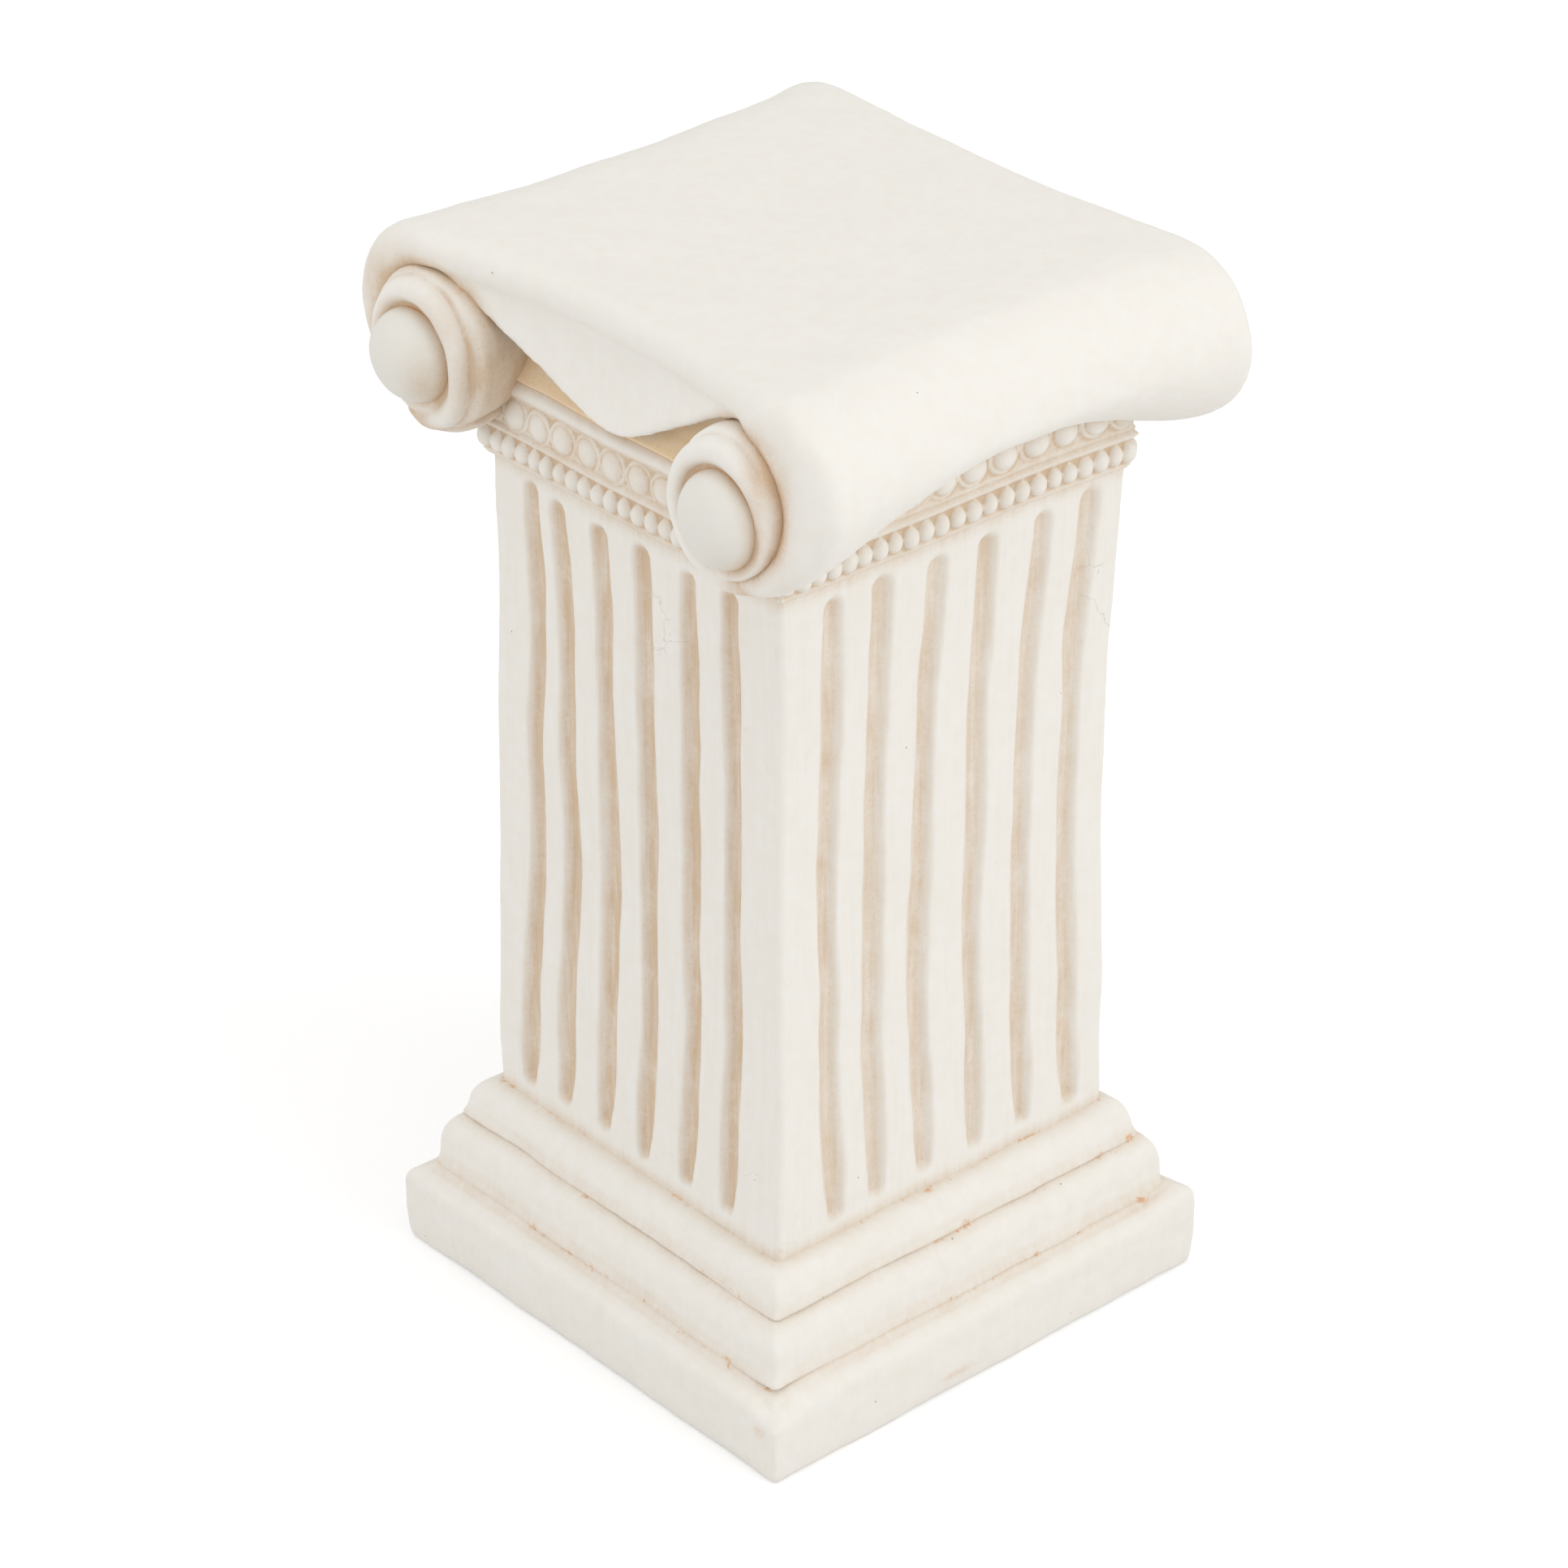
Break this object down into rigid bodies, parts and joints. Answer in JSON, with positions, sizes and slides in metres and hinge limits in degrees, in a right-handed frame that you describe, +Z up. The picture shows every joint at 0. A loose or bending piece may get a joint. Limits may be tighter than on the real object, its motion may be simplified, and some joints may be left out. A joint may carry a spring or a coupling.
{
  "type": "pedestal stand",
  "caption": "Square pedestal stand like a short Ionic column: moulded base, fluted shaft, beaded neck and a scrolled top to stand a plant or bust on.",
  "frame": {"origin": "centre of the foot, on the floor", "axes": "+Z up along the shaft; the front and back, where the scroll ends show, face -Y and +Y; the smooth sides of the scrolls face -X and +X"},
  "size_m": [0.3034, 0.2828, 0.508],
  "materials": {
    "plaster_painted_base": "matte",
    "plaster_stained_shaft": "matte",
    "plaster_stained_ornament": "matte",
    "plaster_painted_capital": "matte",
    "batten_softwood": "matte",
    "board_plywood": "matte",
    "dowel_hardwood": "matte",
    "screw_steel": "satin"
  },
  "bodies": {
    "root": {"base_board": "board_plywood", "base_board_screws": "screw_steel", "base_torus_lower": "plaster_painted_base", "base_torus_upper": "plaster_painted_base", "bead_course_back": "plaster_stained_ornament", "bead_course_front": "plaster_stained_ornament", "bead_course_left": "plaster_stained_ornament", "bead_course_right": "plaster_stained_ornament", "cap_moulding": "plaster_stained_ornament", "capital_sheet": "plaster_painted_capital", "corner_batten_back_left": "batten_softwood", "corner_batten_back_right": "batten_softwood", "corner_batten_front_left": "batten_softwood", "corner_batten_front_right": "batten_softwood", "egg_course_back": "plaster_stained_ornament", "egg_course_front": "plaster_stained_ornament", "egg_course_left": "plaster_stained_ornament", "egg_course_right": "plaster_stained_ornament", "head_board": "board_plywood", "head_board_screws": "screw_steel", "neck_block": "plaster_stained_ornament", "neck_dowels": "dowel_hardwood", "plinth": "plaster_painted_base", "scroll_roll_left": "plaster_painted_capital", "scroll_roll_right": "plaster_painted_capital", "shaft_panel_back": "plaster_stained_shaft", "shaft_panel_front": "plaster_stained_shaft", "shaft_panel_left": "plaster_stained_shaft", "shaft_panel_right": "plaster_stained_shaft", "sheet_dowels": "dowel_hardwood", "volute_eye_back_left": "plaster_painted_capital", "volute_eye_back_right": "plaster_painted_capital", "volute_eye_front_left": "plaster_painted_capital", "volute_eye_front_right": "plaster_painted_capital"}
  },
  "joints": []
}
